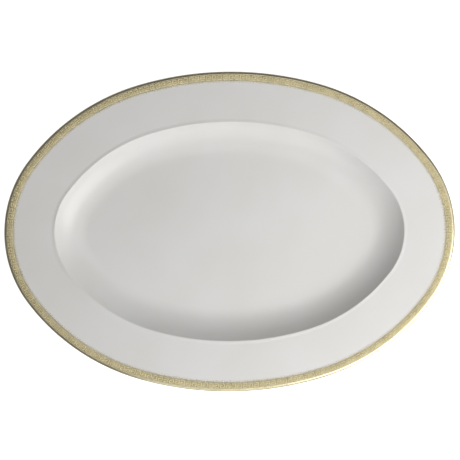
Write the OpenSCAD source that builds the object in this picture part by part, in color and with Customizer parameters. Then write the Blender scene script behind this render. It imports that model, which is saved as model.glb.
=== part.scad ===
// Oval serving platter of glazed china with a gilded key border.
//
// Millimetres. +X runs along the length, +Y along the width, +Z up. The platter stands on its
// bare foot ring at z = 0, with the origin under its centre.
//
// The outline is an oval of eight arcs that share a tangent where they join: two ends, two
// sides and four haunches between them. Every section is drawn with x as the distance inward
// from that outline and y as the height, and is swept along the eight arcs, so the rim, the
// wall of the well, the foot ring and the border keep one width all the way round. The coats
// lie on the china face to face, each from the offset of the same section lines.

/* [Outline] */
// Overall length, over the gilded lip
platter_l = 400; // [334:2:500]
// Overall width, over the gilded lip
platter_w = 284; // [236:2:342]
// How full the ends are, from the sharpest (0) to the roundest (1) that the outline allows
end_fullness = 0.41; // [0.3:0.01:0.6]

/* [Rim] */
// Width of the rim, from the outline to the shoulder
rim_w = 44.25; // [34:0.25:54]
// Rise of the rim towards the lip, in degrees
rim_angle = 5; // [2:0.5:12]
// Thickness of the china in the rim, which the rounded lip takes as its diameter
rim_t = 4.2; // [2.8:0.1:5]

/* [Well] */
// Depth of the well, from the shoulder to the floor
well_depth = 14.5; // [10:0.5:19]
// Slope of the wall just under the shoulder, in degrees
wall_angle = 54; // [44:1:66]
// Radius of the shoulder, where the wall turns into the rim
shoulder_r = 1.25; // [1:0.25:4]
// Thickness of the china in the floor and the wall
floor_t = 4.8; // [3.6:0.1:6.5]
// Radius under the rim, where its underside turns into the outside of the wall
under_r = 7; // [4:0.5:12]

/* [Foot ring] */
// Height of the foot ring below the floor
foot_h = 4; // [3:0.25:7]
// Thickness of the foot ring
foot_w = 5; // [4:0.25:8]
// How far the foot ring stands outside the edge of the flat floor
foot_out = 5; // [2:0.5:9]
// Rounding of the foot ring's two bottom edges
foot_edge_r = 1; // [0.5:0.1:1.5]
// Fillets where the foot ring meets the china above it
foot_root_r = 1.6; // [1:0.1:2.2]
// Height of the foot ring that is wiped bare of glaze
bare_h = 1.2; // [0.8:0.1:1.4]

/* [Coats] */
// Thickness of the glaze
glaze_t = 0.25; // [0.2:0.05:0.5]
// Thickness of the gilding
gild_t = 0.2; // [0.15:0.05:0.4]

/* [Gilded border] */
// Flat part of the plain gold band, between the round of the lip and the key band
lip_flat_w = 0.1; // [0.1:0.1:3]
// Width of the band that carries the keys
key_band_w = 5; // [3.5:0.1:8]
// Length of one key along the border
key_pitch = 5; // [3.5:0.1:9]
// Width of a key's stroke
key_stroke = 0.7; // [0.4:0.05:0.8]
// Margin between the keys and the two edges of their band
key_margin = 0.4; // [0.2:0.05:0.7]
// Height of the keys above the band
key_relief = 0.3; // [0.2:0.05:0.6]
// Gap between the key band, the fine line and the beads
line_gap = 0.3; // [0.2:0.05:0.6]
// Width of the fine line
line_w = 0.5; // [0.3:0.05:1]
// Diameter of a bead
bead_d = 1; // [0.6:0.05:1.4]
// Spacing of the beads
bead_pitch = 2.5; // [1.6:0.1:5]

/* [Hidden] */
$fn = 180;

// Steps of a bend in a section
BEND = 8;
// Flat floor swept with the rim, how far the floor plate laps into it, and the least radius
// that a sweep's inner edge keeps at the ends of the oval
FLOOR_BAND = 5;
FLOOR_LAP = 2;
END_ROOM = 4;
// Reach of the wedges that part the eight sweeps, past anything they cut
REACH = 500;
// How deep keys and beads are bedded in what they sit on
BED = 0.05;

// Upward normal of a section line that climbs outwards at slope t
function normal(t) = [sin(t), cos(t)];
// Points of an arc about a centre, while the slope turns from one angle to another
function bend(centre, r, from, to) =
    [for (i = [0 : BEND]) centre + r * normal(from + (to - from) * i / BEND)];
// Two circles of radius r and s touch from outside, and their centres are a given distance
// apart along one axis: this is their distance along the other
function beside(r, s, along) = sqrt(pow(r + s, 2) - pow(along, 2));

// The upper face of the floor, and the shoulder's outer end
floor_z = foot_h + floor_t;
shoulder_end = [rim_w, floor_z + well_depth];
up_rim = normal(rim_angle);
out_rim = [-cos(rim_angle), sin(rim_angle)];

// The wall: a hollow curve from the floor to the shoulder
shoulder_rise = shoulder_r * (cos(rim_angle) - cos(wall_angle));
wall_r = (well_depth - shoulder_rise) / (1 - cos(wall_angle));
shoulder_c = shoulder_end - shoulder_r * up_rim;
wall_c = shoulder_c + (shoulder_r + wall_r) * normal(wall_angle);
toe_x = wall_c.x;
ring_x = ceil(toe_x) + FLOOR_BAND;

// The lip: a round edge, with its coats inside the overall size
lip_r = rim_t / 2;
coats_t = glaze_t + gild_t;
lip_x = coats_t + lip_r;
rim_run = (shoulder_end.x - lip_r * up_rim.x - lip_x) / -out_rim.x;
lip_c = shoulder_end + rim_run * out_rim - lip_r * up_rim;
band_x = lip_x + (lip_r + coats_t) * up_rim.x + lip_flat_w;

// The bend under the rim touches the rim's underside and the outside of the wall
wall_back_r = wall_r + floor_t;
under_up = (shoulder_end - wall_c) * up_rim - rim_t - under_r;
under_c = wall_c + beside(wall_back_r, under_r, under_up) * out_rim + under_up * up_rim;
under_slope = atan2(wall_c.x - under_c.x, wall_c.y - under_c.y);

// The oval. Its arcs join on the directions of 3-4-5 and 7-24-25 triangles, which are exact
// decimals, so neighbouring sweeps meet in one plane to the last digit. The radius grows by
// haunch_step and then side_step on the way from the ends to the sides.
HAUNCH = [0.8, 0.6];
SIDE = [0.28, 0.96];
half_l = platter_l / 2;
half_w = platter_w / 2;
sharpest_end_r = 2 * half_w - half_l;
roundest_end_r = (7 * half_w - half_l) / 6;
end_r = max(
    round(sharpest_end_r + end_fullness * (roundest_end_r - sharpest_end_r)),
    ring_x + END_ROOM);
haunch_step = 7 * half_w / 2 - half_l / 2 - 3 * end_r;
side_step = 5 * (half_l - 2 * half_w + end_r);
haunch_r = end_r + haunch_step;
side_r = haunch_r + side_step;
end_c = [half_l - end_r, 0];
haunch_c = end_c - haunch_step * HAUNCH;
side_c = [0, haunch_c.y - side_step * SIDE.y];

// Reflection across the Y axis
function flip(p) = [-p.x, p.y];
// Each arc as its centre, its radius and the directions of its two ends, counter-clockwise
right_top = [
    [end_c, end_r, [HAUNCH.x, -HAUNCH.y], HAUNCH],
    [haunch_c, haunch_r, HAUNCH, SIDE],
    [side_c, side_r, SIDE, flip(SIDE)],
    [flip(haunch_c), haunch_r, flip(SIDE), flip(HAUNCH)]];
arcs = concat(right_top, [for (a = right_top) [-a[0], a[1], -a[2], -a[3]]]);

// The foot ring, and the fillet between it and the outside of the wall
foot_x = toe_x - foot_out;
foot_root_x = foot_x - foot_root_r;
foot_root_c = [foot_root_x, wall_c.y - beside(wall_back_r, foot_root_r, wall_c.x - foot_root_x)];
foot_slope = atan2(wall_c.x - foot_root_c.x, wall_c.y - foot_root_c.y);
recess_x = foot_x + foot_w;

// Section lines of the china's surface, offset outwards by the coats up to height g
function well_line(g) = concat(
    [[ring_x, floor_z + g]],
    bend(wall_c, g - wall_r, 0, wall_angle),
    bend(shoulder_c, shoulder_r + g, wall_angle, rim_angle));
function lip_line(g) = bend(lip_c, lip_r + g, rim_angle, rim_angle - 180);
function back_line(g) = concat(
    bend(under_c, under_r - g, rim_angle, under_slope),
    bend(wall_c, -wall_back_r - g, under_slope, foot_slope),
    bend(foot_root_c, foot_root_r - g, foot_slope, 90),
    [[foot_x - g, bare_h]]);
function recess_line(g) = concat(
    [[recess_x + g, bare_h]],
    bend([recess_x + foot_root_r, foot_h - foot_root_r], foot_root_r - g, -90, 0),
    [[ring_x, foot_h - g]]);
function foot_line() = concat(
    bend([foot_x + foot_edge_r, foot_edge_r], -foot_edge_r, 90, 0),
    bend([recess_x - foot_edge_r, foot_edge_r], -foot_edge_r, 0, -90));

// Point of the rim's upper face at distance x from the outline, under coats of height g
function on_rim(x, g) =
    lip_c - (x - lip_c.x - (lip_r + glaze_t) * up_rim.x) / -out_rim.x * out_rim + (lip_r + g) * up_rim;
// Closed section between two lines that run the same way
function between(upper, lower) =
    concat(upper, [for (i = [len(lower) - 1 : -1 : 0]) lower[i]]);
// Closed section of a coat on the rim, from x0 to x1 and from height g0 to g1
function strip(x0, x1, g0, g1) = [on_rim(x0, g0), on_rim(x1, g0), on_rim(x1, g1), on_rim(x0, g1)];

// Sweeps a section along the whole oval: a full turn about each arc's centre, cut to the
// wedge between the arc's two ends
module around() {
    for (a = arcs)
        intersection() {
            translate(a[0])
                rotate_extrude()
                    translate([a[1], 0])
                        mirror([1, 0])
                            children();
            translate([0, 0, -1])
                linear_extrude(REACH)
                    polygon([a[0], a[0] + REACH * a[2], a[0] + REACH * a[3]]);
        }
}

// The oval's area, inset from the outline: the polygon through the joins, and the piece of
// each arc's disc beyond its chord
module oval_area(inset) {
    polygon([for (a = arcs) a[0] + (a[1] - inset) * a[2]]);
    for (a = arcs) {
        r = a[1] - inset;
        intersection() {
            translate(a[0])
                circle(r);
            polygon([a[0] + r * a[2], a[0] + REACH * a[2], a[0] + REACH * a[3], a[0] + r * a[3]]);
        }
    }
}

// Flat plate that closes the middle of a swept floor, from z0 up to z1
module floor_plate(z0, z1) {
    translate([0, 0, z0])
        linear_extrude(z1 - z0)
            oval_area(ring_x - FLOOR_LAP);
}

// Copies a motif along the oval at distance x from the outline, a whole number to each arc,
// lying on the rim at height g, with its own X axis along the border and Y towards the lip
module along_border(x, g, pitch) {
    spot = on_rim(x, g);
    for (a = arcs) {
        r = a[1] - spot.x;
        half = acos(a[2] * a[3]) / 2;
        middle = a[2] + a[3];
        count = round(r * half * PI / 90 / pitch);
        for (i = [0 : count - 1])
            translate([a[0].x, a[0].y, spot.y])
                rotate(atan2(middle.y, middle.x) + half * (2 * i + 1 - count) / count)
                    translate([r, 0, 0])
                        rotate([rim_angle, 0, -90])
                            children();
    }
}

// One fret of the key pattern: an upright, a top bar and a hook that turns back inside it
module key_shape() {
    long = key_pitch - key_margin - key_stroke;
    high = key_band_w - 2 * key_margin;
    mid = (long - key_stroke) / 2;
    linear_extrude(key_relief + BED)
        translate([-long / 2, -high / 2])
            polygon([
                [0, 0], [0, high], [long, high],
                [long, mid], [mid, mid], [mid, mid + key_stroke],
                [long - key_stroke, mid + key_stroke], [long - key_stroke, high - key_stroke],
                [key_stroke, high - key_stroke], [key_stroke, key_stroke],
                [long, key_stroke], [long, 0]]);
}

// Fired china: rim, well, floor and foot ring in one piece
module china_body() {
    color("#e9e6df") {
        around()
            polygon(concat(well_line(0), lip_line(0), back_line(0), foot_line(), recess_line(0)));
        floor_plate(foot_h, floor_z);
    }
}

// Glaze on the face, over the lip and down the back to the foot ring
module outer_glaze() {
    color("#f4f3f0") {
        around()
            polygon(between(
                concat(well_line(glaze_t), lip_line(glaze_t), back_line(glaze_t)),
                concat(well_line(0), lip_line(0), back_line(0))));
        floor_plate(floor_z, floor_z + glaze_t);
    }
}

// Glaze on the underside of the floor, inside the foot ring
module recess_glaze() {
    color("#f0efec") {
        around()
            polygon(between(recess_line(0), recess_line(glaze_t)));
        floor_plate(foot_h - glaze_t, foot_h);
    }
}

// Plain gold band round the lip
module lip_gilding() {
    color("#c9a94e")
        around()
            polygon(between(
                concat([on_rim(band_x, coats_t)], lip_line(coats_t)),
                concat([on_rim(band_x, glaze_t)], lip_line(glaze_t))));
}

// Gold band that the keys stand on
module key_band() {
    color("#b39a55")
        around()
            polygon(strip(band_x, band_x + key_band_w, glaze_t, coats_t));
}

// Raised gold keys, one row round the border
module keys() {
    color("#dcc27a")
        along_border(band_x + key_band_w / 2, coats_t - BED, key_pitch)
            key_shape();
}

// Fine gold line inside the key band
module fine_line() {
    line_x = band_x + key_band_w + line_gap;
    color("#cdb980")
        around()
            polygon(strip(line_x, line_x + line_w, glaze_t, coats_t));
}

// Row of gold beads inside the fine line
module beads() {
    bead_x = band_x + key_band_w + 2 * line_gap + line_w + bead_d / 2;
    color("#d8c690")
        along_border(bead_x, glaze_t - BED, bead_pitch)
            cylinder(h = gild_t + BED, d = bead_d, $fn = 16);
}

china_body();
outer_glaze();
recess_glaze();
lip_gilding();
key_band();
keys();
fine_line();
beads();
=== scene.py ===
"""Oval serving platter in glazed and gilded china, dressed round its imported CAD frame.

The platter is a solid of one section carried round an oval, so every surface here is worked
out the same way: a point goes in from the outline along its normal by x, and up by z. The
glaze and the gilding are thin closed shells between two offsets of that one section.
Everything is in metres, with +X along the length, +Y along the width and +Z up.
"""

import math
from types import SimpleNamespace

import bpy
import numpy as np
from bpy.props import FloatProperty, FloatVectorProperty, IntProperty, PointerProperty
from bpy.types import Operator, Panel, PropertyGroup
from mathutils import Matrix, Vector


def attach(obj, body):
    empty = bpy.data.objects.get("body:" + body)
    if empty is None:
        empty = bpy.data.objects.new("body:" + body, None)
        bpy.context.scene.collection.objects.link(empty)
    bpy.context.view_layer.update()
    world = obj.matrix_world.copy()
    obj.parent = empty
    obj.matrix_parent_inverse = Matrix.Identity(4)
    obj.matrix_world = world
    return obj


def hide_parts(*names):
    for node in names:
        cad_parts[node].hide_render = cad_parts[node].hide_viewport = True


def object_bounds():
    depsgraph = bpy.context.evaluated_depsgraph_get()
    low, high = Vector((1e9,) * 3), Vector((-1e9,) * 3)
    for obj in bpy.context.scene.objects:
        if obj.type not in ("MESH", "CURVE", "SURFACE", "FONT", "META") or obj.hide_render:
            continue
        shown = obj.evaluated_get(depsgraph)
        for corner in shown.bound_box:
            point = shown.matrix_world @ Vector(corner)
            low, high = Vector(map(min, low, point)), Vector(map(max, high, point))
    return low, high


bl_info = {
    "name": "Oval China Platter",
    "version": (1, 0, 0),
    "blender": (4, 5, 0),
    "location": "3D View > Sidebar > Platter",
    "description": "Builds a glazed and gilded oval platter round its CAD frame",
    "category": "Object",
}

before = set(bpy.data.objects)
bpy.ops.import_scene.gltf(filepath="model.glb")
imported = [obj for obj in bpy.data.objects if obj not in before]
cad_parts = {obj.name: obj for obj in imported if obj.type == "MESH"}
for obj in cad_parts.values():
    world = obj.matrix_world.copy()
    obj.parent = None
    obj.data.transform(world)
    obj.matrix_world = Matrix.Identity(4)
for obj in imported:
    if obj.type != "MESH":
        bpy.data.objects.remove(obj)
CAD_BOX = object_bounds()
BODY = "root"
MM = 0.001

# The arcs of the oval join where the outline faces along the 3-4-5 and 7-24-25 triangles.
HAUNCH = np.array([0.8, 0.6])
SIDE = np.array([0.28, 0.96])
FLIP = np.array([-1, 1])
# Flat floor that is swept with the rim, and the least radius that it keeps at the oval's ends
FLOOR_BAND = 5 * MM
END_ROOM = 4 * MM

# Steps along each stretch of the section, which a piece multiplies by how fine it is
FLOOR_STEPS = 3
WALL_STEPS = 6
SHOULDER_STEPS = 2
LIP_STEPS = 4
UNDER_STEPS = 3
BACK_STEPS = 3
ROOT_STEPS = 2
EDGE_STEPS = 2
PLAIN, SMOOTH, FINE, FINEST = 2, 3, 4, 5
# Straight stretches: under the rim, and across the lip's flat
RIM_BACK_STEPS = 6
LIP_FLAT_STEPS = 4
# The face of the rim: short steps where the glaze rolls over the shoulder, then long ones
ROLL_STEP = 0.4 * MM
ROLL_STEPS = 12
RIM_STEPS = 8
RIM_START = 0.3
# How many times steeper the roll of glaze falls towards the well than towards the lip
ROLL_STEEPER = 2
# A strip's turned edges: their radius in the coat's thickness, and the points along each
STRIP_EDGE = 1 / 3
STRIP_POINTS = 4
# The lip's gold ends in a rounded edge: points of (inset, rise) in half the gilding
LIP_EDGE = np.array([[0, 1], [0.3, 1.7], [1, 2]])
# Waves of the lip's brushed edge: how many go round, and where each starts
LIP_WAVES = ((23, 0.4), (41, 1.9), (67, 4.1))

# How deep keys and beads are bedded in the coat that they sit on
BED = 0.05 * MM
BEAD_CORNERS = 8
# Angles up a bead's dome at which its rings lie
BEAD_RISE = np.radians([0, 30, 60])
# Edges turned by more degrees than this stay crisp
SWEEP_SHARP, KEY_SHARP, BEAD_SHARP = 40, 25, 60

# Attribute that runs with the lip
ROUND = "round_the_lip"
# Sockets of a colour Mix node, by their places
MIX_SHARE, MIX_A, MIX_B, MIX_RESULT = 0, 6, 7, 2
# Noise keeps to the middle of its range, and this much of it is spread out
NOISE_START, NOISE_END = 0.35, 0.65

# Patterns are sized in millimetres, and so are the depths of their bumps.
# Glaze: its warm cast, its gloss, its long waviness and its orange peel
GLAZE_IOR = 1.52
GLAZE_CAST = 70
GLAZE_GLOSS = 18
GLAZE_WAVE = 26
GLAZE_WAVE_DEPTH = 0.03
GLAZE_PEEL = 2.2
GLAZE_PEEL_DEPTH = 0.002
GLAZE_ROUGHNESS = (0.2, 0.27)
# Bisque: its sugary grain, and the shelf wear between two heights of the foot ring
BISQUE_GRAIN = 0.5
BISQUE_GRAIN_DEPTH = 0.03
BISQUE_ROUGHNESS = 0.85
WEAR_HEIGHTS = (0.1 * MM, 0.6 * MM)
WEAR_SHARES = (0.8, 0.1)
WEAR_DARK = 0.45
# Burnished gold of the lip: streaks, drawn out along the lip, and patches of uneven burnish
STREAK = 0.3
STREAK_STRETCH = (40, 40, 1)
STREAK_DEPTH = 0.004
BURNISH_PATCH = 5
BURNISH_STRETCH = (3, 3, 1)
BURNISH_DEPTH = 0.02
BURNISH_PALE = 1.12
BURNISH_ROUGHNESS = (0.2, 0.34)
# Matt gold of the key band: its stipple, and patches where it lies thicker
STIPPLE = 0.35
STIPPLE_DEPTH = 0.02
MATT_PATCH = 6
MATT_DEEP = 0.75
MATT_ROUGHNESS = (0.3, 0.45)
# Raised gold of the keys and beads: how unevenly it was rubbed
RUB = 1.5
RUB_DEPTH = 0.008
RUB_DULL = 0.85
RUB_ROUGHNESS = (0.22, 0.34)

FLOOR_SIDE = 6.0
FLOOR_TONES = ("D8D8D7", "DCDCDB")
FLOOR_CLOUDS = 400
FLOOR_ROUGHNESS = 0.9
FLOOR_SPECULAR = 0.1
# The floor and the room glow white for the camera alone, so the backdrop is clean. The
# platter itself sees a floor lit by the lights, in a room as dim as this.
FLOOR_GLOW = 1.0
ROOM_GLOW = 0.13
# Each light's name, size, power, place and tint: the key from the right front, a wide softbox
# overhead, and two reflector cards low down, in front and on the right
LIGHTS = (
    ("key", (0.6, 0.6), 3.4, (0.44, -0.33, 0.4), "FFFFFF"),
    ("softbox", (1.0, 0.9), 2.8, (0.14, -0.1, 1.25), "FFFFFF"),
    ("front_card", (0.5, 0.5), 0.7, (0.0, -0.6, 0.3), "FFFFFF"),
    ("right_card", (0.5, 0.5), 0.4, (0.6, 0.0, 0.35), "FFFFFF"),
)
LENS = 85.0
SENSOR = 36.0
CAMERA_PLACE = (0.0004, 0.0014, 0.989)
CAMERA_TURN = -0.5


def linear(hex_colour):
    """Linear RGB of an sRGB hex value: a straight line up to the toe, and above it a 2.4 power."""
    srgb = np.array([int(hex_colour[i : i + 2], 16) for i in (0, 2, 4)]) / 255
    return np.where(srgb <= 0.04045, srgb / 12.92, ((srgb + 0.055) / 1.055) ** 2.4).tolist()


def size(name, millimetres, description):
    """A length that a user can change, kept in metres."""
    return FloatProperty(
        name=name, description=description, default=millimetres * MM, unit="LENGTH", precision=5
    )


def turn(name, degrees, description):
    """An angle that a user can change, kept in radians."""
    return FloatProperty(
        name=name, description=description, default=math.radians(degrees), subtype="ANGLE"
    )


def colour(name, hex_colour, description):
    """A colour that a user can change, kept linear."""
    return FloatVectorProperty(
        name=name,
        description=description,
        default=linear(hex_colour),
        subtype="COLOR",
        min=0,
        max=1,
    )


class ChinaSizes(PropertyGroup):
    """Sizes of the china and its coats."""

    length: size(
        "Length",
        round((CAD_BOX[1].x - CAD_BOX[0].x) / MM),
        "Overall length, over the gilded lip",
    )
    width: size(
        "Width",
        round((CAD_BOX[1].y - CAD_BOX[0].y) / MM),
        "Overall width, over the gilded lip",
    )
    end_fullness: FloatProperty(
        name="End fullness",
        description="From the sharpest end to the roundest",
        default=0.41,
        min=0.3,
        max=0.6,
        subtype="FACTOR",
    )
    rim_width: size("Rim width", 44.25, "Width of the rim, from the outline to the shoulder")
    rim_angle: turn("Rim angle", 5, "Rise of the rim towards the lip")
    rim_thickness: size(
        "Rim thickness", 4.2, "Thickness of the rim, and diameter of the round lip"
    )
    well_depth: size("Well depth", 14.5, "From the shoulder to the floor")
    wall_angle: turn("Wall angle", 54, "Slope of the wall just under the shoulder")
    shoulder_radius: size("Shoulder radius", 1.25, "Where the wall turns into the rim")
    floor_thickness: size("Floor thickness", 4.8, "Thickness of the floor and the wall")
    under_radius: size(
        "Radius under the rim", 7, "Where the rim's underside turns into the wall"
    )
    foot_height: size("Foot height", 4, "Height of the foot ring below the floor")
    foot_thickness: size("Foot thickness", 5, "Thickness of the foot ring")
    foot_out: size("Foot set-out", 5, "How far the foot ring stands outside the flat floor")
    foot_edge: size("Foot edge", 1, "Rounding of the foot ring's bottom edges")
    foot_root: size("Foot root", 1.6, "Fillet where the foot ring meets the china")
    bare_height: size("Bare foot", 1.2, "Height of the foot ring that is wiped bare")
    glaze: size("Glaze", 0.25, "Thickness of the glaze")
    gilding: size("Gilding", 0.2, "Thickness of the gilding")
    shoulder_roll: size(
        "Shoulder roll", 0.25, "Height of the low roll of glaze along the shoulder"
    )
    roll_width: size(
        "Roll width", 1.1, "How far out the roll falls to six tenths of its height"
    )
    floor_sag: size("Floor sag", 0.15, "How far the middle of the floor sinks in the kiln")
    around: IntProperty(
        name="Steps round", description="Steps round the oval", default=448, min=64, max=1024
    )


class BorderSizes(PropertyGroup):
    """Sizes of the gilded border, from the lip inwards."""

    lip_flat: size("Lip flat", 0.1, "Flat part of the plain gold band, inside the round of the lip")
    lip_waver: size("Lip waver", 0.07, "How far the brushed edge of the lip band wavers")
    key_band: size("Key band", 5, "Width of the band that carries the keys")
    key_pitch: size("Key pitch", 5, "Length of one key along the border")
    key_stroke: size("Key stroke", 0.7, "Width of a key's stroke")
    key_margin: size("Key margin", 0.4, "Margin between the keys and their band's edges")
    key_relief: size("Key relief", 0.3, "Height of the keys above their band")
    key_round: size("Key rounding", 0.12, "Rounding of a key's top edges")
    line_gap: size("Line gap", 0.3, "Gap between the band, the fine line and the beads")
    line_width: size("Line width", 0.5, "Width of the fine line")
    bead_diameter: size("Bead", 1, "Diameter of a bead")
    bead_pitch: size("Bead pitch", 2.5, "Spacing of the beads")


class PlatterColours(PropertyGroup):
    """Colours of the platter's finishes."""

    china: colour("China", "F1F0EE", "Glazed white china")
    china_warm: colour(
        "China, warm", "EEECE8", "The faint warm cast where the glaze lies thinner"
    )
    bisque: colour("Bisque", "DFD8CB", "Fired china without glaze")
    burnished: colour("Burnished gold", "E9DEBA", "Gold on the lip, rubbed with agate")
    matt: colour("Matt gold", "CDC196", "Gold of the key band, as it leaves the kiln")
    raised: colour("Raised gold", "E6DAB4", "Gold of the keys and beads, rubbed on top")


SETTINGS = {
    "platter_china": ChinaSizes,
    "platter_border": BorderSizes,
    "platter_colours": PlatterColours,
}


def settings():
    """The three groups of settings on the scene, in the order china, border, colours."""
    return [getattr(bpy.context.scene, name) for name in SETTINGS]


# ---------------------------------------------------------------------------
# The oval and its section
# ---------------------------------------------------------------------------


def normal(slope):
    """Upward normal of a section line that climbs outwards at a slope: its sine and its cosine."""
    return np.stack([np.sin(slope), np.cos(slope)], axis=-1)


def bend(centre, radius, start, end, steps):
    """Arc of a section: its centre plus its radius times the normal, as the slope turns."""
    return centre + radius * normal(np.linspace(start, end, steps + 1))


def straight(start, end, steps):
    """Points between two ends of a straight line, without the ends: an even mix of the two."""
    t = np.linspace(0, 1, steps + 1)[1:-1, None]
    return start + t * (end - start)


def beside(r, s, along):
    """How far apart two touching circles are across, from how far they are along: Pythagoras."""
    return math.sqrt((r + s) ** 2 - along**2)


def section_of(china, border):
    """Centres, radii and slopes of the section's arcs.

    Each arc touches the next, so its centre follows from the tangent that they share.
    """
    s = SimpleNamespace(slope=china.rim_angle, steep=china.wall_angle)
    s.floor = china.foot_height + china.floor_thickness
    shoulder_end = np.array([china.rim_width, s.floor + china.well_depth])
    s.up = normal(s.slope)
    s.out = np.array([-s.up[1], s.up[0]])
    rise = china.shoulder_radius * (math.cos(s.slope) - math.cos(s.steep))
    s.wall_r = (china.well_depth - rise) / (1 - math.cos(s.steep))
    s.shoulder_c = shoulder_end - china.shoulder_radius * s.up
    s.wall_c = s.shoulder_c + (china.shoulder_radius + s.wall_r) * normal(s.steep)
    s.ring = math.ceil(s.wall_c[0] / MM) * MM + FLOOR_BAND

    s.lip_r = china.rim_thickness / 2
    s.coats = china.glaze + china.gilding
    lip_x = s.coats + s.lip_r
    run = (shoulder_end[0] - s.lip_r * s.up[0] - lip_x) / -s.out[0]
    s.lip_c = shoulder_end + run * s.out - s.lip_r * s.up

    s.band = lip_x + (s.lip_r + s.coats) * s.up[0] + border.lip_flat

    s.back_r = s.wall_r + china.floor_thickness
    under_up = (shoulder_end - s.wall_c) @ s.up - china.rim_thickness - china.under_radius
    s.under_c = s.wall_c + beside(s.back_r, china.under_radius, under_up) * s.out + under_up * s.up
    s.under_slope = math.atan2(*(s.wall_c - s.under_c))

    s.foot = s.wall_c[0] - china.foot_out
    root_x = s.foot - china.foot_root
    root_down = beside(s.back_r, china.foot_root, s.wall_c[0] - root_x)
    s.root_c = np.array([root_x, s.wall_c[1] - root_down])
    s.root_slope = math.atan2(*(s.wall_c - s.root_c))
    s.recess = s.foot + china.foot_thickness
    return s


def oval_of(china, ring):
    """The outline: eight arcs that share tangents.

    A point of an arc is its centre plus its radius times the direction out. The steps go to
    the arcs by their lengths, so they are even all the way round.
    """
    half_l, half_w = china.length / 2, china.width / 2
    sharpest = 2 * half_w - half_l
    roundest = (7 * half_w - half_l) / 6
    end_r = round((sharpest + china.end_fullness * (roundest - sharpest)) / MM) * MM
    end_r = max(end_r, ring + END_ROOM)
    haunch_step = 7 * half_w / 2 - half_l / 2 - 3 * end_r
    side_step = 5 * (half_l - 2 * half_w + end_r)
    end_c = np.array([half_l - end_r, 0])
    haunch_c = end_c - haunch_step * HAUNCH
    side_c = np.array([0, haunch_c[1] - side_step * SIDE[1]])
    haunch, side = math.atan2(*HAUNCH[::-1]), math.atan2(*SIDE[::-1])
    haunch_r = end_r + haunch_step
    right_top = [
        (end_c, end_r, -haunch, haunch),
        (haunch_c, haunch_r, haunch, side),
        (side_c, haunch_r + side_step, side, math.pi - side),
        (haunch_c * FLIP, haunch_r, math.pi - side, math.pi - haunch),
    ]
    arcs = right_top + [(-c, r, a + math.pi, b + math.pi) for c, r, a, b in right_top]
    lengths = np.array([r * (b - a) for c, r, a, b in arcs])
    steps = np.rint(china.around * lengths / lengths.sum()).astype(int)
    starts = np.cumsum(lengths) - lengths
    angle = np.concatenate([
        a + (b - a) * np.arange(n) / n for (c, r, a, b), n in zip(arcs, steps)
    ])
    along = np.concatenate([
        start + length * np.arange(n) / n for start, length, n in zip(starts, lengths, steps)
    ])
    return SimpleNamespace(
        arcs=arcs,
        centre=np.repeat([c for c, *_ in arcs], steps, axis=0),
        radius=np.repeat([r for c, r, *_ in arcs], steps),
        out=np.stack([np.cos(angle), np.sin(angle)], axis=-1),
        along=along,
        length=lengths.sum(),
        ring=ring,
        middle=half_w,
        sag=china.floor_sag,
    )


def swept(oval, line):
    """Carries a section line round the oval, to an array of rows by steps by three.

    At distance x from the outline a point is the arc's centre plus (radius - x) times the
    direction out. Past the ring, the ring's own point is drawn in towards the middle by the
    share of the way that is left, and the floor sags by the square of one less that share
    squared.
    """
    x, z = line[:, :1], line[:, 1:]
    reach = oval.radius - np.minimum(x, oval.ring)
    across = oval.centre + reach[..., None] * oval.out
    share = np.clip((oval.middle - x) / (oval.middle - oval.ring), 0, 1)
    sag = oval.sag * (1 - share**2) ** 2
    height = np.broadcast_to(z - sag, reach.shape)
    return np.concatenate([across * share[..., None], height[..., None]], axis=-1)


def floor_rows(oval, height, steps):
    """The floor's part of a section line, from its middle to the ring, level at one height."""
    x = np.linspace(oval.middle, oval.ring, steps + 1)
    return np.stack([x, np.full_like(x, height)], axis=-1)


def on_rim(china, s, x, height):
    """Points of the rim's face at distance x from the outline, raised along its normal.

    The lip's centre, plus the way in along the rim's slope, plus the lip's radius and the
    height along the rim's normal. The distance x is that of the point on the glaze below.
    """
    x, height = np.atleast_1d(x)[:, None], np.atleast_1d(height)[:, None]
    back = (x - s.lip_c[0] - (s.lip_r + china.glaze) * s.up[0]) / -s.out[0]
    return s.lip_c - back * s.out + (s.lip_r + height) * s.up


def well_line(china, s, oval, g, fine):
    """Section line of the face at offset g: level floor, hollow wall and round shoulder."""
    shoulder_r = china.shoulder_radius + g
    return np.concatenate([
        floor_rows(oval, s.floor + g, FLOOR_STEPS * fine),
        bend(s.wall_c, g - s.wall_r, 0, s.steep, WALL_STEPS * fine),
        bend(s.shoulder_c, shoulder_r, s.steep, s.slope, SHOULDER_STEPS * fine)[1:],
    ])


def lip_line(s, g, fine):
    """Section line of the lip at offset g: half a turn from the rim's face to its underside."""
    return bend(s.lip_c, s.lip_r + g, s.slope, s.slope - math.pi, LIP_STEPS * fine)


def back_line(china, s, g, fine):
    """Section line of the back at offset g: bend under the rim, back of the wall, foot's fillet."""
    under_r, root_r = china.under_radius - g, china.foot_root - g
    return np.concatenate([
        bend(s.under_c, under_r, s.slope, s.under_slope, UNDER_STEPS * fine),
        bend(s.wall_c, -s.back_r - g, s.under_slope, s.root_slope, BACK_STEPS * fine)[1:],
        bend(s.root_c, root_r, s.root_slope, math.pi / 2, ROOT_STEPS * fine)[1:],
        [[s.foot - g, china.bare_height]],
    ])


def recess_line(china, s, oval, g, fine):
    """Section line inside the foot at offset g: up the ring, round its fillet, to the middle."""
    root_c = np.array([s.recess + china.foot_root, china.foot_height - china.foot_root])
    return np.concatenate([
        [[s.recess + g, china.bare_height]],
        bend(root_c, china.foot_root - g, -math.pi / 2, 0, ROOT_STEPS * fine),
        floor_rows(oval, china.foot_height - g, FLOOR_STEPS * fine)[::-1],
    ])


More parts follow.
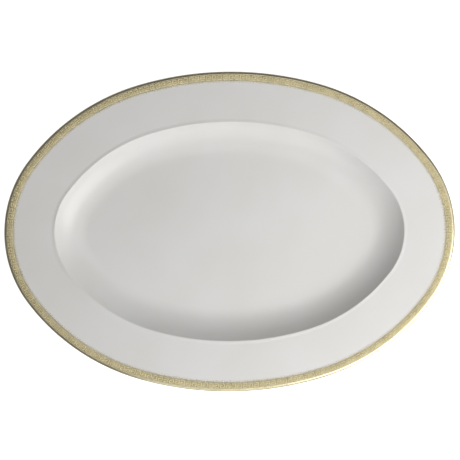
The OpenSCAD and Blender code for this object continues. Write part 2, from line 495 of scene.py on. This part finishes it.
def foot_line(china, s, fine):
    """Section line under the foot ring: two quarter turns, and the flat that it stands on."""
    edge, steps = china.foot_edge, EDGE_STEPS * fine
    return np.concatenate([
        bend(np.array([s.foot + edge, edge]), -edge, math.pi / 2, 0, steps),
        bend(np.array([s.recess - edge, edge]), -edge, 0, -math.pi / 2, steps),
    ])


# ---------------------------------------------------------------------------
# Meshes
# ---------------------------------------------------------------------------


def grid_faces(rows, steps, poles):
    """Quads between neighbouring rows, closed round the oval.

    Vertex (row, step) is row times steps plus step. Between poles, the first and last rows are
    each one vertex, with a fan of triangles round it. A ring's last row joins its first.
    """
    step = np.arange(steps)
    after = (step + 1) % steps
    faces = []
    for row in range(rows - 1 if poles else rows):
        here, there = row * steps, (row + 1) % rows * steps
        if poles and row == 0:
            corners = [np.full(steps, here), there + step, there + after]
        elif poles and row == rows - 2:
            corners = [here + step, np.full(steps, there), here + after]
        else:
            corners = [here + step, there + step, there + after, here + after]
        faces += np.stack(corners, axis=-1).tolist()
    return faces


def add_piece(name, node_name, material, points, faces, coords=None, sharp=SWEEP_SHARP):
    """Puts a mesh into the scene as one piece, which stands for a CAD node and rides on its body.

    Points that no face uses are left out, such as all but one of a pole's.
    """
    used = np.unique(np.concatenate([np.asarray(f) for f in faces]))
    renumber = np.zeros(len(points), dtype=int)
    renumber[used] = np.arange(len(used))
    mesh = bpy.data.meshes.new(name)
    mesh.from_pydata(points[used].tolist(), [], [renumber[f].tolist() for f in faces])
    if coords is not None:
        layer = mesh.attributes.new(ROUND, "FLOAT_VECTOR", "POINT")
        layer.data.foreach_set("vector", coords[used].astype(np.float32).ravel())
    mesh.shade_smooth()
    mesh.set_sharp_from_angle(angle=math.radians(sharp))
    mesh.materials.append(material)
    piece = bpy.data.objects.new(name, mesh)
    bpy.context.scene.collection.objects.link(piece)
    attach(piece, BODY)
    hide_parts(node_name)
    return piece


def round_coords(oval, line):
    """Coordinates that run with the lip.

    Two go round a circle as long as the outline, and the third is the length along the section.
    """
    radius = oval.length / (2 * math.pi)
    turn_angle = oval.along / radius
    circle = np.stack([np.cos(turn_angle), np.sin(turn_angle)], axis=-1) * radius
    across = np.concatenate([[0], np.cumsum(np.linalg.norm(np.diff(line, axis=0), axis=1))])
    rows, steps = len(line), len(oval.along)
    return np.concatenate([
        np.broadcast_to(circle, (rows, steps, 2)),
        np.broadcast_to(across[:, None, None], (rows, steps, 1)),
    ], axis=-1).reshape(-1, 3)


def add_sweep(name, node_name, material, oval, line, poles=False, waver=None):
    """Adds the surface that a section line sweeps.

    The line runs from pole to pole, or it is a closed section that makes a ring.
    """
    grid = swept(oval, line)
    if waver is not None:
        grid = grid + waver
    faces = grid_faces(*grid.shape[:2], poles)
    points, coords = grid.reshape(-1, 3), round_coords(oval, line)
    return add_piece(name, node_name, material, points, faces, coords)


def strip_line(china, s, x0, x1, height):
    """Closed section of a coat on the rim: a flat strip, its two upper edges quarter turns."""
    low, high = china.glaze, china.glaze + height
    edge = height * STRIP_EDGE
    quarter = np.linspace(0, math.pi / 2, STRIP_POINTS)
    sine, cosine = edge * np.sin(quarter), edge * np.cos(quarter)
    x = np.concatenate([x1 - edge + cosine, x0 + edge - sine])
    g = np.concatenate([high - edge + sine, high - edge + cosine])
    top = on_rim(china, s, x, g)
    return np.concatenate([on_rim(china, s, x1, low), top, on_rim(china, s, x0, low)])


def along_border(s, oval, rings, spot, pitch):
    """Copies a motif along the border through one spot of the section, a whole number to each arc.

    The motif is a stack of rings of (u, v, h): u runs with the border, v towards the lip and h
    up from the coat. A copy's point is the arc's centre plus its own distance from it times a
    direction. The distance is radius - inset + v cos(rim) - h sin(rim), and the direction lies
    at the copy's angle less u over the spot's radius.
    """
    u, v, h = rings[..., 0], rings[..., 1], rings[..., 2]
    inwards = spot[0] - v * s.up[1] + h * s.up[0]
    z = spot[1] + v * s.up[0] + h * s.up[1]
    copies = []
    for centre, radius, start, end in oval.arcs:
        r = radius - spot[0]
        count = round(r * (end - start) / pitch)
        angle = start + (end - start) * (np.arange(count) + 0.5) / count
        turned = angle[:, None, None] - u / r
        reach = radius - inwards
        copies.append(np.stack([
            centre[0] + reach * np.cos(turned),
            centre[1] + reach * np.sin(turned),
            np.broadcast_to(z, turned.shape),
        ], axis=-1))
    return np.concatenate(copies)


def ring_stack(levels):
    """Rings of (u, v, h) from flat outlines of (u, v), each with its height."""
    return np.stack([np.column_stack([flat, np.full(len(flat), h)]) for flat, h in levels])


def stack_faces(count, levels, corners):
    """Faces of motifs that are stacks of rings: quads between rings, and a flat one at each end."""
    corner = np.arange(corners)
    after = (corner + 1) % corners
    one = [corner[::-1].tolist()]
    for level in range(levels - 1):
        low, high = level * corners, (level + 1) * corners
        one += np.stack([low + corner, low + after, high + after, high + corner], axis=-1).tolist()
    one.append(((levels - 1) * corners + corner).tolist())
    size_of_one = levels * corners
    return [[k * size_of_one + point for point in face] for k in range(count) for face in one]


def add_motifs(name, node_name, material, copies, sharp):
    """Adds all the copies of a motif as one piece of raised gold."""
    faces = stack_faces(*copies.shape[:3])
    points = copies.reshape(-1, 3)
    return add_piece(name, node_name, material, points, faces, sharp=sharp)


# ---------------------------------------------------------------------------
# Materials
# ---------------------------------------------------------------------------


def add_node(tree, kind, inputs=None, links=None, **options):
    """Adds one node with its options, its inputs' values, and the outputs that link into it."""
    made = tree.nodes.new(kind)
    for key, value in options.items():
        setattr(made, key, value)
    for key, value in (inputs or {}).items():
        made.inputs[key].default_value = value
    for key, output in (links or {}).items():
        tree.links.new(output, made.inputs[key])
    return made


def new_material(name):
    """An empty material: its tree, its shader, and the object's own coordinates."""
    made = bpy.data.materials.new(name)
    made.use_nodes = True
    tree = made.node_tree
    tree.nodes.clear()
    shader = add_node(tree, "ShaderNodeBsdfPrincipled")
    add_node(tree, "ShaderNodeOutputMaterial", links={"Surface": shader.outputs["BSDF"]})
    return made, tree, shader, add_node(tree, "ShaderNodeTexCoord").outputs["Object"]


def noise(tree, coords, millimetres, detail=2.0, stretch=(1, 1, 1)):
    """Noise whose features are about so many millimetres across, drawn out by the stretch."""
    scale = [1 / (millimetres * MM * k) for k in stretch]
    mapped = add_node(tree, "ShaderNodeMapping", {"Scale": scale}, {"Vector": coords})
    settled = {"Scale": 1.0, "Detail": detail}
    placed = {"Vector": mapped.outputs["Vector"]}
    return add_node(tree, "ShaderNodeTexNoise", settled, placed).outputs["Fac"]


def spread(tree, value, low, high, start=NOISE_START, end=NOISE_END):
    """A value's range, from start to end, spread over low to high and cut off there."""
    return add_node(
        tree,
        "ShaderNodeMapRange",
        {"From Min": start, "From Max": end, "To Min": low, "To Max": high},
        {"Value": value},
    ).outputs["Result"]


def mixed(tree, share, first, second):
    """Two colours mixed by a share that a texture gives."""
    return add_node(
        tree,
        "ShaderNodeMix",
        {MIX_A: (*first, 1), MIX_B: (*second, 1)},
        {MIX_SHARE: share},
        data_type="RGBA",
    ).outputs[MIX_RESULT]


def bumped(tree, shader, *layers):
    """Bumps the shader's normal by height textures, each with its depth in millimetres."""
    below = None
    for height, depth in layers:
        links = {"Height": height} if below is None else {"Height": height, "Normal": below}
        below = add_node(tree, "ShaderNodeBump", {"Distance": depth * MM}, links).outputs["Normal"]
    tree.links.new(below, shader.inputs["Normal"])


def glost_china():
    """Hard white china under a clear glaze, fired glossy.

    The glaze flowed in the kiln, so it shines, with a long soft waviness that bends
    reflections, a faint orange peel, and a cast that warms where it lies thinner.
    """
    colours = settings()[2]
    made, tree, shader, place = new_material("glost_fired_china")
    cast = spread(tree, noise(tree, place, GLAZE_CAST), 0, 1)
    shade = mixed(tree, cast, colours.china, colours.china_warm)
    tree.links.new(shade, shader.inputs["Base Color"])
    gloss = spread(tree, noise(tree, place, GLAZE_GLOSS), *GLAZE_ROUGHNESS)
    tree.links.new(gloss, shader.inputs["Roughness"])
    shader.inputs["IOR"].default_value = GLAZE_IOR
    wave, peel = noise(tree, place, GLAZE_WAVE), noise(tree, place, GLAZE_PEEL)
    bumped(tree, shader, (wave, GLAZE_WAVE_DEPTH), (peel, GLAZE_PEEL_DEPTH))
    return made


def bisque_china():
    """Fired china without glaze, wiped bare before the glost firing, so it is dry and matt.

    It has a fine sugary grain, and the edge that it stands on is grey with shelf wear.
    """
    colours = settings()[2]
    made, tree, shader, place = new_material("bare_bisque_china")
    grain = noise(tree, place, BISQUE_GRAIN, detail=4)
    height = add_node(tree, "ShaderNodeSeparateXYZ", links={"Vector": place}).outputs["Z"]
    wear = spread(tree, height, *WEAR_SHARES, *WEAR_HEIGHTS)
    both = {0: wear, 1: grain}
    worn = add_node(tree, "ShaderNodeMath", links=both, operation="MULTIPLY").outputs["Value"]
    dark = [WEAR_DARK * c for c in colours.bisque]
    tree.links.new(mixed(tree, worn, colours.bisque, dark), shader.inputs["Base Color"])
    shader.inputs["Roughness"].default_value = BISQUE_ROUGHNESS
    bumped(tree, shader, (grain, BISQUE_GRAIN_DEPTH))
    return made


def lip_gold():
    """Best gold, brushed on in liquid form and rubbed with agate after its low firing.

    The brush and the agate both ran with the lip, so its fine streaks do too. The burnish is
    uneven, so its colour comes and goes over a few millimetres. The real streaks are a tenth
    of a millimetre apart, and are drawn at three tenths so that they show.
    """
    colours = settings()[2]
    made, tree, shader, _ = new_material("burnished_lip_gold")
    along = add_node(tree, "ShaderNodeAttribute", attribute_name=ROUND).outputs["Vector"]
    streaks = noise(tree, along, STREAK, detail=3, stretch=STREAK_STRETCH)
    patches = noise(tree, along, BURNISH_PATCH, stretch=BURNISH_STRETCH)
    pale = [min(1, BURNISH_PALE * c) for c in colours.burnished]
    shade = mixed(tree, spread(tree, patches, 0, 1), colours.burnished, pale)
    tree.links.new(shade, shader.inputs["Base Color"])
    tree.links.new(spread(tree, streaks, *BURNISH_ROUGHNESS), shader.inputs["Roughness"])
    shader.inputs["Metallic"].default_value = 1
    bumped(tree, shader, (patches, BURNISH_DEPTH), (streaks, STREAK_DEPTH))
    return made


def matt_gold():
    """Gold ground of the key band, left as it comes from the kiln: matt, browner and stippled."""
    colours = settings()[2]
    made, tree, shader, place = new_material("matt_ground_gold")
    stipple = noise(tree, place, STIPPLE, detail=3)
    patches = noise(tree, place, MATT_PATCH)
    deep = [MATT_DEEP * c for c in colours.matt]
    shade = mixed(tree, spread(tree, patches, 0, 1), colours.matt, deep)
    tree.links.new(shade, shader.inputs["Base Color"])
    tree.links.new(spread(tree, stipple, *MATT_ROUGHNESS), shader.inputs["Roughness"])
    shader.inputs["Metallic"].default_value = 1
    bumped(tree, shader, (stipple, STIPPLE_DEPTH))
    return made


def raised_gold():
    """Raised paste, gilded over and rubbed on its tops: paler and glossier than its ground."""
    colours = settings()[2]
    made, tree, shader, place = new_material("rubbed_raised_gold")
    rub = noise(tree, place, RUB, detail=3)
    dull = [RUB_DULL * c for c in colours.raised]
    shade = mixed(tree, spread(tree, rub, 0, 1), colours.raised, dull)
    tree.links.new(shade, shader.inputs["Base Color"])
    tree.links.new(spread(tree, rub, *RUB_ROUGHNESS), shader.inputs["Roughness"])
    shader.inputs["Metallic"].default_value = 1
    bumped(tree, shader, (rub, RUB_DEPTH))
    return made


def pale_floor():
    """Painted board, matt and nearly even, which glows white for the camera alone."""
    made, tree, shader, place = new_material("pale_floor")
    tone = mixed(tree, noise(tree, place, FLOOR_CLOUDS), *map(linear, FLOOR_TONES))
    tree.links.new(tone, shader.inputs["Base Color"])
    shader.inputs["Roughness"].default_value = FLOOR_ROUGHNESS
    shader.inputs["Specular IOR Level"].default_value = FLOOR_SPECULAR
    shader.inputs["Emission Color"].default_value = (1, 1, 1, 1)
    seen = add_node(tree, "ShaderNodeLightPath").outputs["Is Camera Ray"]
    glow = spread(tree, seen, 0, FLOOR_GLOW, 0, 1)
    tree.links.new(glow, shader.inputs["Emission Strength"])
    return made


# ---------------------------------------------------------------------------
# Pieces
# ---------------------------------------------------------------------------


def parts():
    """Settings, section and oval, which every piece is worked out from."""
    china, border, _ = settings()
    s = section_of(china, border)
    return china, border, s, oval_of(china, s.ring)


def made_already(name, make):
    """A finish that an earlier piece made, or else a new one."""
    return bpy.data.materials.get(name) or make()


class PLATTER_OT_china(Operator):
    """Adds the fired china: rim, well, floor and foot ring, in one section from pole to pole"""

    bl_idname = "platter.china"
    bl_label = "Fired china"

    def execute(self, context):
        china, _, s, oval = parts()
        line = np.concatenate([
            well_line(china, s, oval, 0, PLAIN),
            lip_line(s, 0, PLAIN),
            back_line(china, s, 0, PLAIN),
            foot_line(china, s, SMOOTH),
            recess_line(china, s, oval, 0, PLAIN),
        ])
        bisque = bisque_china()
        add_sweep("platter_china", "china_body", bisque, oval, line, poles=True)
        return {"FINISHED"}


class PLATTER_OT_face_glaze(Operator):
    """Adds the glaze of the face, lip and back: a film between two offsets of the section.

    Its outer face is offset by the glaze, and raised along the shoulder by a low roll: the
    roll's height times a bell curve of the distance, which is steeper towards the well.
    """

    bl_idname = "platter.face_glaze"
    bl_label = "Face glaze"

    def execute(self, context):
        china, _, s, oval = parts()
        well = well_line(china, s, oval, china.glaze, FINE)
        lip = lip_line(s, china.glaze, FINE)
        back = back_line(china, s, china.glaze, FINE)
        reach = well[-1, 0] - lip[0, 0]
        near = np.arange(1, ROLL_STEPS + 1) * ROLL_STEP
        far = np.linspace(RIM_START, 1, RIM_STEPS + 1)[:-1] * reach
        rim_x = well[-1, 0] - np.concatenate([near, far])
        face = np.concatenate([well, on_rim(china, s, rim_x, china.glaze)])
        away = (face[:, 0] - china.rim_width) / china.roll_width
        away = np.where(away > 0, ROLL_STEEPER * away, away)
        face = face + china.shoulder_roll * np.exp(-(away**2) / 2)[:, None] * s.up
        outer = [face, lip, straight(lip[-1], back[0], RIM_BACK_STEPS), back]
        inner = np.concatenate([
            well_line(china, s, oval, 0, PLAIN),
            lip_line(s, 0, PLAIN),
            back_line(china, s, 0, PLAIN),
        ])
        line = np.concatenate([*outer, inner[::-1]])
        add_sweep("face_glaze", "outer_glaze", glost_china(), oval, line, poles=True)
        return {"FINISHED"}


class PLATTER_OT_recess_glaze(Operator):
    """Adds the glaze inside the foot ring: a film between two offsets of the recess"""

    bl_idname = "platter.recess_glaze"
    bl_label = "Recess glaze"

    def execute(self, context):
        china, _, s, oval = parts()
        inner = recess_line(china, s, oval, 0, PLAIN)
        outer = recess_line(china, s, oval, china.glaze, SMOOTH)
        line = np.concatenate([inner[::-1], outer])
        glaze = made_already("glost_fired_china", glost_china)
        add_sweep("underside_glaze", "recess_glaze", glaze, oval, line, poles=True)
        return {"FINISHED"}


class PLATTER_OT_lip(Operator):
    """Adds the gold of the lip: a film round the lip, with a brushed edge that wavers underneath.

    The waver is the mean of sine waves round the oval, and grows with the square of the depth
    below the middle of the lip.
    """

    bl_idname = "platter.lip"
    bl_label = "Gilded lip"

    def execute(self, context):
        china, border, s, oval = parts()
        lip = lip_line(s, s.coats, FINEST)
        away, rise = china.gilding / 2 * LIP_EDGE.T
        edge = on_rim(china, s, s.band - away, china.glaze + rise)
        outer = np.concatenate([edge, straight(edge[-1], lip[0], LIP_FLAT_STEPS), lip])
        inner_lip = lip_line(s, china.glaze, SMOOTH)
        inner = np.concatenate([on_rim(china, s, s.band, china.glaze), inner_lip])
        line = np.concatenate([outer, inner[::-1]])
        turn_angle = 2 * math.pi * oval.along / oval.length
        wave = sum(np.sin(n * turn_angle + shift) for n, shift in LIP_WAVES) / len(LIP_WAVES)
        low = np.clip((s.lip_c[1] - line[:, 1]) / s.lip_r, 0, 1) ** 2
        push = -border.lip_waver * low[:, None] * wave
        waver = np.concatenate([push[..., None] * oval.out, np.zeros((*push.shape, 1))], axis=-1)
        gold = lip_gold()
        add_sweep("gilded_lip", "lip_gilding", gold, oval, line, waver=waver)
        return {"FINISHED"}


class PLATTER_OT_key_ground(Operator):
    """Adds the gold band that the keys stand on: a strip of the rim's coat with turned edges"""

    bl_idname = "platter.key_ground"
    bl_label = "Key ground"

    def execute(self, context):
        china, border, s, oval = parts()
        end = s.band + border.key_band
        line = strip_line(china, s, s.band, end, china.gilding)
        add_sweep("gold_key_ground", "key_band", matt_gold(), oval, line)
        return {"FINISHED"}


class PLATTER_OT_keys(Operator):
    """Adds the raised keys: an upright, a top bar and a hook, as one outline in rings of (u, v, h).

    The last ring is drawn in by the rounding, along the sum of the normals of the two edges
    that meet at each corner.
    """

    bl_idname = "platter.keys"
    bl_label = "Raised keys"

    def execute(self, context):
        china, border, s, oval = parts()
        stroke = border.key_stroke
        long = border.key_pitch - border.key_margin - stroke
        high = border.key_band - 2 * border.key_margin
        mid = (long - stroke) / 2
        outline = np.array([
            [long, 0], [long, stroke], [stroke, stroke], [stroke, high - stroke],
            [long - stroke, high - stroke], [long - stroke, mid + stroke], [mid, mid + stroke],
            [mid, mid], [long, mid], [long, high], [0, high], [0, 0],
        ]) - np.array([long, high]) / 2
        edges = np.roll(outline, -1, axis=0) - outline
        edges /= np.linalg.norm(edges, axis=1, keepdims=True)
        inwards = np.stack([-edges[:, 1], edges[:, 0]], axis=-1)
        drawn_in = outline + border.key_round * (inwards + np.roll(inwards, 1, axis=0))
        levels = [
            (outline, -BED),
            (outline, border.key_relief - border.key_round),
            (drawn_in, border.key_relief),
        ]
        spot = on_rim(china, s, s.band + border.key_band / 2, s.coats)[0]
        copies = along_border(s, oval, ring_stack(levels), spot, border.key_pitch)
        add_motifs("gold_keys", "keys", raised_gold(), copies, KEY_SHARP)
        return {"FINISHED"}


class PLATTER_OT_fine_line(Operator):
    """Adds the fine gold line inside the key band: a narrow strip of the rim's coat"""

    bl_idname = "platter.fine_line"
    bl_label = "Fine line"

    def execute(self, context):
        china, border, s, oval = parts()
        start = s.band + border.key_band + border.line_gap
        line = strip_line(china, s, start, start + border.line_width, china.gilding)
        gold = made_already("matt_ground_gold", matt_gold)
        add_sweep("gold_fine_line", "fine_line", gold, oval, line)
        return {"FINISHED"}


class PLATTER_OT_beads(Operator):
    """Adds the row of gold beads: low domes in rings, each with a small flat on top.

    A ring's radius goes with the cosine of its angle up the dome, and its height with the sine.
    """

    bl_idname = "platter.beads"
    bl_label = "Beads"

    def execute(self, context):
        china, border, s, oval = parts()
        radius = border.bead_diameter / 2
        inset = s.band + border.key_band + 2 * border.line_gap + border.line_width + radius
        corner = np.arange(BEAD_CORNERS) * 2 * math.pi / BEAD_CORNERS
        circle = np.stack([np.cos(corner), np.sin(corner)], axis=-1)
        heights = china.gilding * np.sin(BEAD_RISE) / math.sin(BEAD_RISE[-1])
        dome = [(r * circle, h) for r, h in zip(radius * np.cos(BEAD_RISE), heights)]
        rings = ring_stack([(radius * circle, -BED), *dome])
        spot = on_rim(china, s, inset, china.glaze)[0]
        copies = along_border(s, oval, rings, spot, border.bead_pitch)
        gold = made_already("rubbed_raised_gold", raised_gold)
        add_motifs("gold_beads", "beads", gold, copies, BEAD_SHARP)
        return {"FINISHED"}


class PLATTER_OT_stage(Operator):
    """Adds the stage: a pale floor, soft studio lights, a dim room and the camera"""

    bl_idname = "platter.stage"
    bl_label = "Stage"

    def execute(self, context):
        scene = context.scene
        half = FLOOR_SIDE / 2
        mesh = bpy.data.meshes.new("floor")
        corners = [(-half, -half, 0), (half, -half, 0), (half, half, 0), (-half, half, 0)]
        mesh.from_pydata(corners, [], [(0, 1, 2, 3)])
        mesh.materials.append(pale_floor())
        floor = bpy.data.objects.new("floor", mesh)
        scene.collection.objects.link(floor)

        for name, side, power, place, tint in LIGHTS:
            lamp = bpy.data.lights.new(name, "AREA")
            lamp.shape, lamp.size, lamp.size_y = "RECTANGLE", side[0], side[1]
            lamp.energy, lamp.color = power, linear(tint)
            light = bpy.data.objects.new(name, lamp)
            light.location = place
            light.rotation_euler = (-Vector(place)).to_track_quat("-Z", "Y").to_euler()
            scene.collection.objects.link(light)

        world = bpy.data.worlds.new("dim_room")
        world.use_nodes = True
        tree = world.node_tree
        back = tree.nodes["Background"]
        back.inputs["Color"].default_value = (1, 1, 1, 1)
        seen = add_node(tree, "ShaderNodeLightPath").outputs["Is Camera Ray"]
        glow = spread(tree, seen, ROOM_GLOW, FLOOR_GLOW, 0, 1)
        tree.links.new(glow, back.inputs["Strength"])
        scene.world = world

        camera = bpy.data.objects.new("camera", bpy.data.cameras.new("camera"))
        camera.data.lens, camera.data.sensor_width = LENS, SENSOR
        camera.location = CAMERA_PLACE
        camera.rotation_euler = (0, 0, math.radians(CAMERA_TURN))
        scene.collection.objects.link(camera)
        scene.camera = camera
        scene.view_settings.view_transform = "Standard"
        return {"FINISHED"}


class PLATTER_PT_panel(Panel):
    """Lists the platter's sizes, colours and pieces"""

    bl_idname = "PLATTER_PT_panel"
    bl_label = "China platter"
    bl_space_type = "VIEW_3D"
    bl_region_type = "UI"
    bl_category = "Platter"

    def draw(self, context):
        for name, group in SETTINGS.items():
            box = self.layout.box()
            for key in group.__annotations__:
                box.prop(getattr(context.scene, name), key)
        for piece in PIECES:
            self.layout.operator(piece.bl_idname)


PIECES = (
    PLATTER_OT_stage,
    PLATTER_OT_china,
    PLATTER_OT_face_glaze,
    PLATTER_OT_recess_glaze,
    PLATTER_OT_lip,
    PLATTER_OT_key_ground,
    PLATTER_OT_keys,
    PLATTER_OT_fine_line,
    PLATTER_OT_beads,
)
CLASSES = (*SETTINGS.values(), *PIECES, PLATTER_PT_panel)


def register():
    """Registers the classes and puts the settings on the scene."""
    for cls in CLASSES:
        bpy.utils.register_class(cls)
    for name, group in SETTINGS.items():
        setattr(bpy.types.Scene, name, PointerProperty(type=group))


def unregister():
    """Takes the settings and the classes away again."""
    for name in SETTINGS:
        delattr(bpy.types.Scene, name)
    for cls in reversed(CLASSES):
        bpy.utils.unregister_class(cls)


def main():
    """Builds the stage and every piece."""
    register()
    for piece in PIECES:
        area, name = piece.bl_idname.split(".")
        getattr(getattr(bpy.ops, area), name)()


if __name__ == "__main__":
    main()
